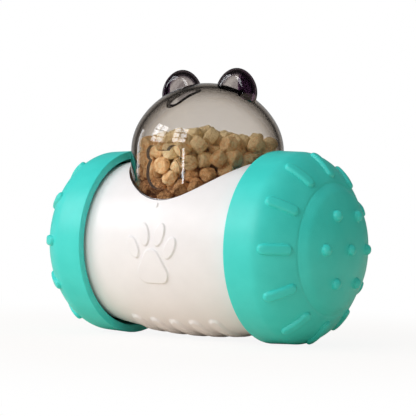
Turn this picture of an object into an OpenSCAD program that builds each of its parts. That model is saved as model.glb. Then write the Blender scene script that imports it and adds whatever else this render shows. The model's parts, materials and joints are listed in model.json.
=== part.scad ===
// Treat dispensing wobbler: a weighted barrel body hung between two free wheels,
// with a see-through animal-head hopper that lifts off for filling.
// X runs along the axle, the head looks towards -Y, and Z = 0 is the floor under the wheels.

/* [Wheels] */
// Radius of a wheel at the flats of its rim
wheel_r = 48; // [46.5:0.5:54]
// Distance from the middle of the toy to a wheel's open rim
rim_x = 44.2; // [43:0.2:52]
// Width of the nearly straight side of a wheel
side_w = 13.5; // [11:0.5:18]
// How much the side of a wheel narrows towards the crown
side_taper = 0.35; // [0.1:0.05:1]
// Width of the slightly raised lip at a wheel's open rim
lip_w = 3; // [2:0.5:5]
// Number of shallow flats around that lip, each like the patch that the soft tread presses flat
lip_flats = 20; // [16:4:48]
// Height of the rounded crown of a wheel
crown_h = 28.3; // [25:0.1:36]
// Roundness of the crown: 2 is an ellipse, less is more conical
crown_n = 1.74; // [1.6:0.02:2.2]
// Wall of the soft wheel cover
tyre_wall = 3.1; // [2:0.1:3.6]
// Wall of the hard hub inside a wheel
hub_wall = 2.2; // [1.6:0.1:3]
// Number of raised bars around a wheel
bar_count = 12; // [6:1:16]
// Width of a raised bar
bar_w = 5.2; // [3:0.1:7]
// Height of a raised bar above the crown
bar_h = 1.4; // [0.6:0.1:2]
// Radius at which a bar starts, near the shoulder
bar_r_out = 46.2; // [43:0.1:46.2]
// Radius at which a bar ends, near the face
bar_r_in = 35; // [34.4:0.1:38]
// Diameter of a face nub
nub_d = 5.2; // [4.6:0.1:6]
// Height of a face nub
nub_h = 2.3; // [1:0.1:2.6]
// Radius of the ring of face nubs
nub_ring_r = 18.5; // [12:0.5:25]
// Number of nubs in the ring
nub_count = 6; // [3:1:8]
// Radius of the groove around a wheel's face
groove_r = 32.5; // [28:0.5:33]
// Width of that groove
groove_w = 1.4; // [0.6:0.1:2]

/* [Body] */
// Radius of the barrel body at its middle
body_r = 46; // [45:0.1:46.4]
// Gap around the barrel inside a wheel's rim
rim_gap = 2.35; // [1.6:0.05:3]
// Wall of the barrel
body_wall = 2.6; // [2:0.1:3]
// How far the barrel reaches inside a wheel's rim
body_tuck = 6.8; // [5:0.1:9]
// Height of the raised paw print and ribs
relief_h = 0.8; // [0.4:0.1:1]
// Scale of the paw print
paw_size = 1; // [0.8:0.05:1.2]
// Number of ribs that run around under the belly
rib_count = 5; // [3:1:6]
// Distance between the belly ribs
rib_pitch = 12; // [9:0.5:13]
// Width of a belly rib
rib_w = 6; // [3:0.1:7]
// Length of a belly rib from front to back, seen from below
rib_len = 55; // [40:1:60]

/* [Head] */
// Radius of the see-through dome
dome_r = 39.2; // [36:0.1:40]
// Height of the dome above its widest level
dome_h = 35.2; // [32:0.1:42]
// Height of the dome's widest level above the barrel's top
dome_rise = 1.5; // [0:0.5:6]
// Wall of the dome
dome_wall = 2; // [1.5:0.1:2.6]
// Gap between the dome and the edge of the opening in the barrel
neck_gap = 0.4; // [0.3:0.05:0.8]
// Width of the flange beyond the opening's edge
flange_w = 0.9; // [0.8:0.1:2.2]
// Thickness of the flange on the barrel
flange_t = 1; // [0.8:0.1:2]
// Distance of an ear from the middle
ear_x = 17; // [14:0.5:22]
// How far an ear's centre lies below the dome's top
ear_sink = 4.2; // [2:0.1:7]
// Radius of an ear seen from the front
ear_r = 11.6; // [11.5:0.1:13]
// Thickness of an ear from front to back
ear_t = 11.4; // [9:0.2:11.4]
// Height of the outlet's wide lower part above the lowest edge of the barrel's opening
outlet_rise = 12.6; // [10.5:0.1:16]
// Width of the outlet's lower part
outlet_w = 20.4; // [18:0.1:22]
// Height of the outlet's lower part
outlet_h = 16.8; // [14:0.1:17]
// Radius of the outlet's two upper lobes
lobe_r = 3.7; // [3:0.1:4.4]
// Distance of a lobe from the middle of the outlet
lobe_x = 6.8; // [5:0.1:7.5]
// Height of a lobe above the lower part's centre
lobe_z = 9.3; // [8:0.1:10]

/* [Hopper] */
// How far the hopper deck lies below the lowest edge of the barrel's opening
deck_drop = 5.4; // [4.5:0.1:7]
// Thickness of the hopper deck
deck_t = 2.5; // [2:0.1:3]
// Height of the hopper cup above the deck
cup_h = 4; // [2:0.5:8]
// Wall of the hopper cup
cup_wall = 1.8; // [1.2:0.1:2.4]
// Diameter of a treat
treat_d = 9; // [7:0.5:10]
// Height of a treat
treat_h = 6.4; // [5:0.2:8]
// Height of the middle of the heap above the dome's widest level
heap_rise = 14.5; // [4:0.5:18]
// How much lower the heap is at the dome's wall
heap_fall = 9.5; // [4:0.5:16]

/* [Inside] */
// Radius of the axle
axle_r = 3; // [2.5:0.1:3.5]
// Thickness of an end plate
plate_t = 3; // [2:0.5:4]
// Radius of the boss that holds the axle
plate_boss_r = 8; // [6:0.5:9]
// Length of the counterweight
weight_l = 60; // [40:1:62]
// Width of the counterweight
weight_w = 38; // [26:1:42]
// Height of the counterweight
weight_h = 13; // [8:0.5:14]
// Thickness of the counterweight's cover
cover_t = 2; // [1.5:0.1:3]
// Outer radius of a wheel's bush
bush_r = 5; // [4.5:0.1:6]
// Length of a wheel's bush
bush_l = 14.6; // [10:0.2:16]
// Thickness of the washers on the axle
washer_t = 0.8; // [0.5:0.1:1]
// Shank radius of the small screws
screw_r = 1.25; // [1:0.05:1.4]
// Shank length of the small screws
screw_l = 9; // [7:0.5:10]

/* [Hidden] */

$fn = 64;
// Cut tools reach this far past the faces that they cut
past = 1;
// Gaps: a turning fit, a seat that is held fast, free air between pieces, and moving curved faces
run_gap = 0.06;
seat_gap = 0.02;
free_gap = 0.4;
travel_gap = 0.3;
// Straight steps that stand for the crown's curve, and for half of the barrel's shallow bulge
curve_steps = 14;
barrel_steps = 6;

// Radius of a wheel's side behind its lip, how much smaller the barrel is there, and the barrel's radius
// at a place along the axle
lip_step = 0.15;
tread_r = wheel_r - lip_step;
body_sag = body_r - tread_r + tyre_wall + rim_gap;
function barrel_r(x) = body_r - body_sag * pow(x / rim_x, 2);
function barrel_in(x) = barrel_r(x) - body_wall;

// Wheel radii: the shoulder where the side meets the crown, and the height of the crown over a radius
shoulder_r = tread_r - side_taper;
function crown_s(r) = side_w + crown_h * pow(1 - pow(r / shoulder_r, crown_n), 1 / crown_n);
slope_step = 0.05;
function crown_slope(r) = (crown_s(r + slope_step) - crown_s(r - slope_step)) / (2 * slope_step);
function unit(v) = v / norm(v);

// Places along the axle, from the barrel's end outwards
end_x = rim_x + body_tuck;
plate_back = 4;
plate_x = end_x - plate_back;
clear_x = 2;
boss_x = end_x + clear_x;
washer_x = boss_x + washer_t;
side_play = 0.2;
bush_x = washer_x + side_play;
axle_x = bush_x + bush_l + free_gap;
seat_back = 1.6;
hub_seat_x = bush_x + bush_l - seat_back;
washer_inset = 0.5;

// End plates and the bosses in the barrel that their screws bite
screw_boss_r = 5.6;
screw_boss_l = 6;
screw_head_r = 2.2 * screw_r;
screw_head_h = 1.5 * screw_r;
screw_hole_gap = 0.05;
plate_hole_gap = 0.35;
plate_gap = 0.15;
plate_r = barrel_in(end_x) - plate_gap;
boss_sink = 0.6;
screw_circle_r = barrel_in(plate_x) - screw_boss_r + boss_sink;
plate_screw_angles = [60, 120, 240, 300];
boss_inner_l = 3;

// Opening in the barrel, the dome's skirt and the hopper
open_r = dome_r + neck_gap;
saddle_z = sqrt(pow(body_r, 2) - pow(open_r, 2));
dome_z = body_r + dome_rise;
dome_in_r = dome_r - dome_wall;
ear_z = dome_z + dome_h - ear_sink;
outlet_z = saddle_z + outlet_rise;
deck_top = saddle_z - deck_drop;
heap_top = dome_z + heap_rise;
dome_edge_part = 0.85;
dome_edge_r = dome_edge_part * dome_h;
skirt_lift = 0.6;
skirt_z = deck_top + skirt_lift;
flange_r = open_r + flange_w;
cup_r = dome_in_r - free_gap;
deck_gap = 0.3;
deck_r = sqrt(pow(barrel_in(0), 2) - pow(deck_top, 2)) - deck_gap;
deck_z = deck_top - deck_t;
rail_h = 2.5;
rail_grip = 3;
rail_in = deck_r - rail_grip;
rail_x = sqrt(pow(deck_r, 2) - pow(rail_in, 2));

// Counterweight on its pads, with posts for its cover
weight_lift = 0.4;
weight_z = weight_lift - sqrt(pow(barrel_in(weight_l / 2), 2) - pow(weight_w / 2, 2));
weight_top = weight_z + weight_h;
pad_w = 6;
pad_inset = 1;
pad_x = weight_l / 2 - 2 * pad_w;
post_r = 3.6;
post_gap = 0.5;
post_x = weight_l / 2 + post_r + post_gap;
post_y = weight_w / 2 - 2 * post_r;
cover_x = post_x + post_r;

// Hub: a deep bowl with a central well over the bush seat
hub_s = boss_x - rim_x;
hub_fit = 0.1;
well_w = 3;
well_r = bush_r + well_w;
well_wall = 2;
hub_rib_count = 4;
hub_rib_t = 1.8;
hub_rib_back = 5;
hub_rib_s = hub_s + hub_rib_back;
end_screw_r = axle_r / 2;
end_screw_l = 10;
end_head_r = 2 * end_screw_r;
end_head_h = 1.3 * end_screw_r;
end_washer_w = 1.4;
end_washer_r = bush_r + end_washer_w;

// Treats in close-packed layers
treat_edge = 1.2;
treat_reach = norm([treat_d / 2, treat_h / 2 - treat_edge]);
treat_gap = 0.3;
treat_lift = 0.1;
treat_turn = [47, 83, 131];
treat_pitch = 2 * treat_reach + treat_gap;
layer_pitch = treat_pitch * sqrt(2 / 3);
heap_n = ceil(dome_r / treat_pitch) + 1;
outlet_depth = 2;
outlet_clear_y = dome_in_r - outlet_depth;
brow_rise = 1.2;

// Paw print: its pad's corners and its toes, and the tick above it
pad_top_r = 5;
pad_top_z = -7;
pad_side_r = 4.5;
pad_side_x = 4.6;
pad_side_z = -14.4;
toe_l = 11.6;
toe_w = 6;
toe_edge_r = 2;
inner_toe = [4.6, 4.9];
inner_toe_lean = 14;
outer_toe = [11.2, -1.4];
outer_toe_lean = 26;
tick_w = 0.9;
tick_h = 2.2;
tick_drop = 4.1;
tick_z = saddle_z - tick_drop;

// Turns a shape drawn around Z so that it lies along the axle
module along_axle() {
    translate([0, 0, wheel_r])
        rotate([0, 90, 0])
            children();
}

// Puts a shape at axle height
module at_axle() {
    translate([0, 0, wheel_r])
        children();
}

// The right side is drawn, and the left is its mirror image
module on_side(left) {
    mirror([left ? 1 : 0, 0, 0])
        children();
}

// Solid barrel, grown outwards, between two ends
module barrel(grow, half_l) {
    along_axle()
        rotate_extrude()
            polygon(concat(
                [[0, -half_l]],
                [for (i = [-barrel_steps:barrel_steps]) let (x = half_l * i / barrel_steps)
                    [barrel_r(x) + grow, x]],
                [[0, half_l]]
            ));
}

// Quarter of a flattened round in two arcs: a tight one at the edge and a wide one on top
module two_arc_quarter(r, h, edge_r) {
    in_r = r - edge_r;
    top_r = (pow(in_r, 2) + pow(h, 2) - pow(edge_r, 2)) / (2 * (h - edge_r));
    turn = atan2(in_r, top_r - h);
    intersection() {
        square([r, h]);
        union() {
            translate([in_r, 0])
                circle(r = edge_r);
            intersection() {
                translate([0, h - top_r])
                    circle(r = top_r);
                translate([0, h - top_r])
                    polygon([[0, 0], 2 * top_r * [sin(turn), cos(turn)], [0, 2 * top_r]]);
            }
        }
    }
}

// Solid wheel form, grown outwards, from a depth behind the rim to the crown; drawn around Z
module wheel_form(grow, from_s) {
    rotate_extrude()
        polygon(concat(
            [[0, from_s], [tread_r - side_taper * from_s / side_w + grow, from_s]],
            [for (i = [0:curve_steps]) let (a = 90 * i / curve_steps) [
                (shoulder_r + grow) * pow(cos(a), 2 / crown_n),
                side_w + (crown_h + grow) * pow(sin(a), 2 / crown_n)
            ]]
        ));
}

// Puts a wheel piece that is drawn around Z at its rim
module at_rim() {
    translate([rim_x, 0, wheel_r])
        rotate([0, 90, 0])
            children();
}

// Pan-head screw, its head resting at Z = 0 and its shank going down
module pan_screw(shank_r, shank_l, head_r, head_h) {
    cylinder(r = head_r, h = head_h);
    translate([0, 0, -shank_l])
        cylinder(r = shank_r, h = shank_l);
}

// Bar with round ends, drawn flat around the origin along X
module stadium(len, w) {
    square([len - w, w], center = true);
    for (side = [-1, 1])
        translate([side * (len - w) / 2, 0])
            circle(d = w);
}

// One paw toe, leaning outwards
module toe(x, z, lean) {
    translate([x, z])
        rotate(90 + lean)
            for (side = [0, 1], end = [0, 1])
                mirror([end, 0])
                    mirror([0, side])
                        two_arc_quarter(toe_l / 2, toe_w / 2, toe_edge_r);
}

// Paw print outline, seen from the front
module paw_outline() {
    pad_turn = atan2(pad_side_x, pad_top_z - pad_side_z);
    pad_out = [cos(pad_turn), sin(pad_turn)];
    scale(paw_size) {
        for (side = [-1, 1]) {
            toe(side * inner_toe.x, inner_toe.y, -side * inner_toe_lean);
            toe(side * outer_toe.x, outer_toe.y, -side * outer_toe_lean);
            translate([side * pad_side_x, pad_side_z])
                circle(r = pad_side_r);
        }
        translate([0, pad_top_z])
            circle(r = pad_top_r);
        for (side = [0, 1])
            mirror([side, 0])
                polygon([
                    [0, pad_top_z],
                    [0, pad_top_z] + pad_top_r * pad_out,
                    [pad_side_x, pad_side_z] + pad_side_r * pad_out,
                    [pad_side_x, pad_side_z],
                    [pad_side_x, pad_side_z - pad_side_r],
                    [0, pad_side_z - pad_side_r]
                ]);
    }
}

// Raised paw, tick and belly ribs, as tools that a grown barrel trims
module relief_tools() {
    reach = body_r + past;
    at_axle() {
        rotate([90, 0, 0])
            linear_extrude(reach) {
                paw_outline();
                translate([0, tick_z])
                    square([tick_w, tick_h], center = true);
            }
        for (i = [0:rib_count - 1])
            translate([(i - (rib_count - 1) / 2) * rib_pitch, 0, -reach])
                linear_extrude(reach)
                    rotate(90)
                        stadium(rib_len, rib_w);
    }
}

// Everything that stands on the inside of the barrel's wall
module inner_features() {
    for (side = [-1, 1]) {
        // Rail under the hopper deck
        translate([-rail_x, side > 0 ? rail_in : -body_r, wheel_r + deck_z - rail_h])
            cube([2 * rail_x, body_r - rail_in, rail_h]);
        // Pad under the counterweight
        translate([side * pad_x - pad_w / 2, pad_inset - weight_w / 2, wheel_r - body_r])
            cube([pad_w, weight_w - 2 * pad_inset, body_r + weight_z]);
        // Posts under the counterweight's cover
        for (y = [-post_y, post_y])
            translate([side * post_x, y, wheel_r - body_r])
                cylinder(r = post_r, h = body_r + weight_top);
        // Bosses behind the end plates
        for (a = plate_screw_angles)
            on_side(side < 0)
                translate([
                    plate_x - screw_boss_l,
                    screw_circle_r * cos(a),
                    wheel_r + screw_circle_r * sin(a)
                ])
                    rotate([0, 90, 0])
                        cylinder(r = screw_boss_r, h = screw_boss_l);
    }
}

// Holes for the small screws, in the posts and in the bosses behind the end plates
module screw_holes() {
    for (side = [-1, 1]) {
        for (y = [-post_y, post_y])
            translate([side * post_x, y, wheel_r + weight_top - screw_l])
                cylinder(r = screw_r + screw_hole_gap, h = screw_l + past);
        for (a = plate_screw_angles)
            on_side(side < 0)
                translate([plate_x - screw_l, screw_circle_r * cos(a), wheel_r + screw_circle_r * sin(a)])
                    rotate([0, 90, 0])
                        cylinder(r = screw_r + screw_hole_gap, h = screw_l + past);
    }
}

// Barrel body with its saddle-shaped opening and raised relief
module body_shell() {
    color("white")
        union() {
            difference() {
                union() {
                    difference() {
                        barrel(0, end_x);
                        barrel(-body_wall, end_x + past);
                    }
                    intersection() {
                        barrel(-body_wall / 2, end_x);
                        inner_features();
                    }
                }
                translate([0, 0, wheel_r + deck_top])
                    cylinder(r = open_r, h = body_r);
                screw_holes();
            }
            intersection() {
                difference() {
                    barrel(relief_h, rim_x);
                    barrel(-body_wall / 2, rim_x + past);
                }
                relief_tools();
            }
        }
}

// Plate that closes one end of the barrel and holds the axle
module end_plate(left) {
    color("gainsboro")
        on_side(left)
            at_axle()
                rotate([0, 90, 0])
                    difference() {
                        union() {
                            translate([0, 0, plate_x])
                                cylinder(r = plate_r, h = plate_t);
                            translate([0, 0, plate_x - boss_inner_l])
                                cylinder(r = plate_boss_r, h = boss_x - plate_x + boss_inner_l);
                        }
                        translate([0, 0, plate_x - boss_inner_l - past])
                            cylinder(r = axle_r + seat_gap, h = boss_x + boss_inner_l + 2 * past);
                        for (a = plate_screw_angles)
                            translate([-screw_circle_r * sin(a), screw_circle_r * cos(a), plate_x - past])
                                cylinder(r = screw_r + plate_hole_gap, h = plate_t + 2 * past);
                    }
}

// Screws of both end plates
module end_plate_screws() {
    color("silver")
        for (left = [false, true], a = plate_screw_angles)
            on_side(left)
                translate([plate_x + plate_t, screw_circle_r * cos(a), wheel_r + screw_circle_r * sin(a)])
                    rotate([0, 90, 0])
                        pan_screw(screw_r, screw_l, screw_head_r, screw_head_h);
}

// Axle through both end plates, with a screw hole in each end
module axle() {
    color("silver")
        along_axle()
            difference() {
                translate([0, 0, -axle_x])
                    cylinder(r = axle_r, h = 2 * axle_x);
                for (side = [-1, 1])
                    translate([0, 0, side * axle_x - (side > 0 ? end_screw_l : past)])
                        cylinder(r = end_screw_r + screw_hole_gap, h = end_screw_l + past);
            }
}

// Washers between the end plates and the wheels
module thrust_washers() {
    color("ivory")
        for (left = [false, true])
            on_side(left)
                translate([boss_x, 0, wheel_r])
                    rotate([0, 90, 0])
                        difference() {
                            cylinder(r = plate_boss_r - washer_inset, h = washer_t);
                            translate([0, 0, -past])
                                cylinder(r = axle_r + run_gap, h = washer_t + 2 * past);
                        }
}

// Washers that keep the wheels on the axle
module axle_washers() {
    color("silver")
        for (left = [false, true])
            on_side(left)
                translate([axle_x, 0, wheel_r])
                    rotate([0, 90, 0])
                        difference() {
                            cylinder(r = end_washer_r, h = washer_t);
                            translate([0, 0, -past])
                                cylinder(r = end_screw_r + screw_hole_gap, h = washer_t + 2 * past);
                        }
}

// Screws in the axle's ends
module axle_screws() {
    color("silver")
        for (left = [false, true])
            on_side(left)
                translate([axle_x + washer_t, 0, wheel_r])
                    rotate([0, 90, 0])
                        pan_screw(end_screw_r, end_screw_l, end_head_r, end_head_h);
}

// Round deck with a low cup that carries the treats inside the dome's skirt
module hopper_tray() {
    color("whitesmoke")
        at_axle() {
            translate([0, 0, deck_z])
                cylinder(r = deck_r, h = deck_t);
            translate([0, 0, deck_top])
                difference() {
                    cylinder(r = cup_r, h = cup_h);
                    cylinder(r = cup_r - cup_wall, h = cup_h + past);
                }
        }
}

// Block that keeps the head up
module counterweight() {
    color("dimgray")
        translate([-weight_l / 2, -weight_w / 2, wheel_r + weight_z])
            cube([weight_l, weight_w, weight_h]);
}

// Plate that clamps the counterweight
module weight_cover() {
    color("whitesmoke")
        translate([0, 0, wheel_r + weight_top])
            difference() {
                translate([-cover_x, -weight_w / 2, 0])
                    cube([2 * cover_x, weight_w, cover_t]);
                for (x = [-post_x, post_x], y = [-post_y, post_y])
                    translate([x, y, -past])
                        cylinder(r = screw_r + plate_hole_gap, h = cover_t + 2 * past);
            }
}

// Screws of the counterweight's cover
module weight_cover_screws() {
    color("silver")
        for (x = [-post_x, post_x], y = [-post_y, post_y])
            translate([x, y, wheel_r + weight_top + cover_t])
                pan_screw(screw_r, screw_l, screw_head_r, screw_head_h);
}

// One treat: a small puck with bevelled edges
module treat() {
    rotate_extrude()
        polygon([
            [0, -treat_h / 2],
            [treat_d / 2 - treat_edge, -treat_h / 2],
            [treat_d / 2, treat_edge - treat_h / 2],
            [treat_d / 2, treat_h / 2 - treat_edge],
            [treat_d / 2 - treat_edge, treat_h / 2],
            [0, treat_h / 2]
        ]);
}

// Room for a treat's centre: radius inside the cup or the dome, and height under the heap's surface
function dome_room(z) = dome_in_r * sqrt(max(0, 1 - pow(max(0, z - dome_z) / (dome_h - dome_wall), 2)));
function room_r(z) = (z - treat_reach < deck_top + cup_h ? cup_r - cup_wall : dome_room(z + treat_reach))
    - treat_reach - free_gap;
function heap_z(r) = heap_top - heap_fall * pow(r / dome_in_r, 2);
function blocks_outlet(p) = abs(p.x) < outlet_w / 2 + treat_reach && p.y - treat_reach < -outlet_clear_y;
function treat_fits(p) = norm([p.x, p.y]) < room_r(p.z)
    && p.z + treat_reach < heap_z(norm([p.x, p.y]))
    && !blocks_outlet(p);
function treat_row(k, j) = [
    for (i = [-2 * heap_n:2 * heap_n])
        let (p = [
            treat_pitch * (i + j / 2 + (k % 2) / 2),
            treat_pitch * (j * sqrt(3) / 2 + (k % 2) * sqrt(3) / 6),
            deck_top + treat_reach + treat_lift + k * layer_pitch
        ])
        if (treat_fits(p)) p
];

// One layer of the heap, in rows
module treat_layer(k) {
    for (j = [-heap_n:heap_n])
        union()
            for (p = treat_row(k, j))
                translate(p)
                    rotate([treat_turn.x * p.x, treat_turn.y * p.y, treat_turn.z * k])
                        treat();
}

// Heap of loose treats, each turned its own way
module treats() {
    color("peru")
        at_axle()
            for (k = [0:heap_n + 1])
                union()
                    treat_layer(k);
}

// Solid of the dome and its skirt, grown outwards, from a level upwards
module dome_form(grow, from_z) {
    at_axle()
        rotate_extrude()
            union() {
                translate([0, from_z])
                    square([dome_r + grow, dome_z - from_z]);
                translate([0, dome_z])
                    two_arc_quarter(dome_r + grow, dome_h + grow, dome_edge_r + grow);
            }
}

// Solid ear: a flat pebble with a round edge, standing across the head
module ear_form(left, grow) {
    face_r = ear_r - ear_t / 2;
    half_t = ear_t / 2 + grow;
    on_side(left)
        translate([ear_x, 0, wheel_r + ear_z])
            rotate([90, 0, 0])
                rotate_extrude() {
                    translate([0, -half_t])
                        square([face_r, 2 * half_t]);
                    translate([face_r, 0])
                        circle(r = half_t);
                }
}

// Outlet outline, seen from the front: a wide round with two lobes on top
module outlet_outline() {
    translate([0, outlet_z]) {
        stadium(outlet_w, outlet_h);
        translate([-lobe_x, 0])
            square([2 * lobe_x, lobe_z + brow_rise]);
        for (side = [-1, 1])
            translate([side * lobe_x, lobe_z])
                circle(r = lobe_r);
    }
}

// See-through head: dome, ears, outlet and a flange that follows the barrel
module head_dome() {
    color([0.35, 0.33, 0.31, 0.45])
        difference() {
            union() {
                dome_form(0, skirt_z);
                for (left = [false, true])
                    ear_form(left, 0);
                intersection() {
                    difference() {
                        barrel(travel_gap + flange_t, rim_x);
                        barrel(travel_gap, rim_x + past);
                    }
                    translate([0, 0, wheel_r + deck_top])
                        cylinder(r = flange_r, h = body_r);
                }
            }
            dome_form(-dome_wall, skirt_z - past);
            for (left = [false, true])
                ear_form(left, -dome_wall);
            at_axle()
                rotate([90, 0, 0])
                    linear_extrude(dome_r + past)
                        outlet_outline();
        }
}

// Lip at a wheel's open rim, with a flat facing down
module rim_lip() {
    lip_r = wheel_r / cos(180 / lip_flats);
    linear_extrude(lip_w)
        polygon([for (i = [0:lip_flats - 1]) let (a = (i + 0.5) * 360 / lip_flats)
            lip_r * [cos(a), sin(a)]]);
}

// Raised bar on a wheel's crown, as a tool that a grown wheel trims
module bar_tool() {
    s_out = crown_s(bar_r_out);
    s_in = crown_s(bar_r_in);
    chord = norm([bar_r_out - bar_r_in, s_in - s_out]);
    translate([(bar_r_out + bar_r_in) / 2, 0, (s_out + s_in) / 2])
        rotate([0, atan2(s_in - s_out, bar_r_out - bar_r_in), 0])
            translate([0, 0, -tyre_wall / 2])
                linear_extrude(tyre_wall + 2 * bar_h)
                    stadium(chord, bar_w);
}

// Round nub on a wheel's face
module nub(r) {
    out = unit([-crown_slope(r), 1]);
    sink = nub_h - nub_d / 2;
    translate([r + out[0] * sink, 0, crown_s(r) + out[1] * sink])
        sphere(d = nub_d);
}

// Soft cover of a wheel: rim, crown, bars and nubs in one piece
module tyre(left) {
    color("turquoise")
        on_side(left)
            at_rim()
                difference() {
                    union() {
                        wheel_form(0, 0);
                        rim_lip();
                        intersection() {
                            wheel_form(bar_h, 0);
                            for (i = [0:bar_count - 1])
                                rotate(90 + 360 * i / bar_count)
                                    bar_tool();
                        }
                        for (i = [0:nub_count - 1])
                            rotate(90 + 360 * i / nub_count)
                                nub(nub_ring_r);
                        translate([0, 0, crown_s(0) + nub_h - nub_d / 2])
                            sphere(d = nub_d);
                    }
                    wheel_form(-tyre_wall, -past);
                    rotate_extrude()
                        translate([groove_r, crown_s(groove_r)])
                            circle(d = groove_w);
                }
}

// Hard bowl inside a wheel, with the bush seat, the well over it and stiffening ribs
module hub(left) {
    skin = -tyre_wall - hub_fit;
    seat_s = bush_x - rim_x;
    seat_top_s = hub_seat_x - rim_x;
    color("lightgray")
        on_side(left)
            at_rim()
                difference() {
                    union() {
                        difference() {
                            wheel_form(skin, hub_s);
                            wheel_form(skin - hub_wall, hub_s - past);
                        }
                        intersection() {
                            wheel_form(skin - hub_wall / 2, hub_s);
                            union() {
                                translate([0, 0, seat_s])
                                    cylinder(r = well_r + well_wall, h = side_w + crown_h);
                                for (i = [0:hub_rib_count - 1])
                                    rotate(45 + 360 * i / hub_rib_count)
                                        translate([well_r, -hub_rib_t / 2, hub_rib_s])
                                            cube([wheel_r, hub_rib_t, side_w + crown_h]);
                            }
                        }
                    }
                    translate([0, 0, seat_s - past])
                        cylinder(r = bush_r + seat_gap, h = side_w + crown_h);
                    translate([0, 0, seat_top_s])
                        cylinder(r = well_r, h = side_w + crown_h);
                }
}

// Bearing sleeve in a hub
module bush(left) {
    color("ivory")
        on_side(left)
            translate([bush_x, 0, wheel_r])
                rotate([0, 90, 0])
                    difference() {
                        cylinder(r = bush_r, h = bush_l);
                        translate([0, 0, -past])
                            cylinder(r = axle_r + run_gap, h = bush_l + 2 * past);
                    }
}

body_shell();
end_plate(true);  // end_plate_left
end_plate(false);  // end_plate_right
end_plate_screws();
axle();
thrust_washers();
axle_washers();
axle_screws();
hopper_tray();
counterweight();
weight_cover();
weight_cover_screws();
treats();
head_dome();
tyre(true);  // tyre_left
tyre(false);  // tyre_right
hub(true);  // hub_left
hub(false);  // hub_right
bush(true);  // bush_left
bush(false);  // bush_right
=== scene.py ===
import json
import math

import bpy
import numpy as np
from mathutils import Matrix, Vector


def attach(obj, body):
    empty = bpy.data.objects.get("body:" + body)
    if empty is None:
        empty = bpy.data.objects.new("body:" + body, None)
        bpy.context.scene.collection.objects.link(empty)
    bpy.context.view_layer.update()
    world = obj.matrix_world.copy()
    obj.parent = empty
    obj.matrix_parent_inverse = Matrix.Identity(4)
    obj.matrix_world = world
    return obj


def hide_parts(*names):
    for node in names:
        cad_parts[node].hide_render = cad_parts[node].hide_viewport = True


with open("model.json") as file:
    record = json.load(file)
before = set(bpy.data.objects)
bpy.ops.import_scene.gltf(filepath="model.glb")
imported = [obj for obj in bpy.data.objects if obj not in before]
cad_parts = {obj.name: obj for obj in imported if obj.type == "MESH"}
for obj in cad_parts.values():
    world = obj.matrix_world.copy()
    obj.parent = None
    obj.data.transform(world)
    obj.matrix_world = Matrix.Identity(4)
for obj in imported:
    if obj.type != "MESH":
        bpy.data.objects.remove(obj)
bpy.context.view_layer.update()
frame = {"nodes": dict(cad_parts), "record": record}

MM = 0.001

# Sizes are in millimetres from the axle's centre. The source has most of them too; the rim's lip, the nubs,
# the bulge of the wheel's face, the opening's stretch, the flange, the outlet's flare, the ears' taper and
# the shape of the heap are only here.
AXLE_Z = 48.0

# Wheels
WHEEL_R = 48.0
SHOULDER_R = 47.5
RIM_X = 44.2
SIDE_W = 13.5
CROWN_H = 28.3
CROWN_N = 1.74
TYRE_WALL = 3.1
LIP_WALL = 4.0
LIP_EDGE = 0.4
SIDE_FROM = 1.2
INSIDE_FROM = 2.0
INSIDE_LEAN = 0.2
INSIDE_TURN = 82.0
GROOVE_R = 32.5
GROOVE_DEPTH = 0.25
GROOVE_W = 0.5
DISC_H = 1.1
DISC_EDGE = 5.0
DISC_MIDDLE = (-4.0, 16.0)

# Bars and nubs on the wheels
BAR_COUNT = 12
BAR_W = 5.2
BAR_H = 1.6
BAR_R_OUT = 46.2
BAR_R_IN = 35.0
BAR_ROUND = 1.5
BAR_FOOT = 0.06
BAR_TURN = 5.6
BAR_TURN_STEP = 0.28
NUB_R = 2.7
NUB_H = 2.7
NUB_RING_R = 18.5
NUB_COUNT = 6
NUB_SIDE_H = 0.5
NUB_FOOT = ((0.65, -0.16), (0.35, 0.0), (0.12, 0.15), (0.02, 0.35))
NUB_SEGMENTS = 32

# Step between a crown's points down to a radius: finer over the ends of the bars and the groove
CROWN_STEPS = ((BAR_R_OUT + 0.9, 0.9), (43.5, 0.24), (38.6, 0.55), (34.2, 0.24), (30.5, 0.4), (4.0, 1.3))
CROWN_LAST_STEP = 1.0

# Barrel
BODY_R = 46.0
BODY_SAG = 3.6
BODY_WALL = 2.6
END_X = 51.0
END_ROUND = 0.5
END_ROUND_W = 0.6
OPEN_R = 39.6
OPEN_Y = 1.022
RELIEF_X = 28.0
RELIEF_STEP = 0.32
TAIL_X = (40.6, 42.0, 43.4, 44.8, 46.4, 48.2, 50.0, END_X - END_ROUND_W, END_X - 0.15, END_X)

# Degrees down the barrel's front, under it and up its back: start, end and step, finer over paw and ribs
FRONT_TURN = 24.0
BACK_TURN = -204.0
TURN_STEPS = ((FRONT_TURN, -34.0, 0.4), (-34.0, -50.0, 1.6), (-50.0, -64.0, 0.5), (-64.0, -116.0, 1.3),
              (-116.0, -130.0, 0.5), (-130.0, BACK_TURN, 2.0))

# Raised paw, tick and belly ribs; a toe is given by its X, Z and lean
RELIEF_H = 0.8
TOES = ((4.6, 4.9, 14.0), (11.2, -1.4, 26.0))
TOE_LONG = 5.8
TOE_WIDE = 3.05
PAD_TOP = -7.0
PAD_LOW = -14.4
PAD_HALF = 4.6
PAD_ROUND = 4.5
PAD_SWELL = 0.5
TICK_Z = 19.3
TICK_HALF = 0.65
TICK_R = 0.45
TICK_SHARE = 0.7
RIB_COUNT = 5
RIB_PITCH = 12.0
RIB_HALF = 23.2
RIB_R = 3.6
RIB_SHARE = 1.4

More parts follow.
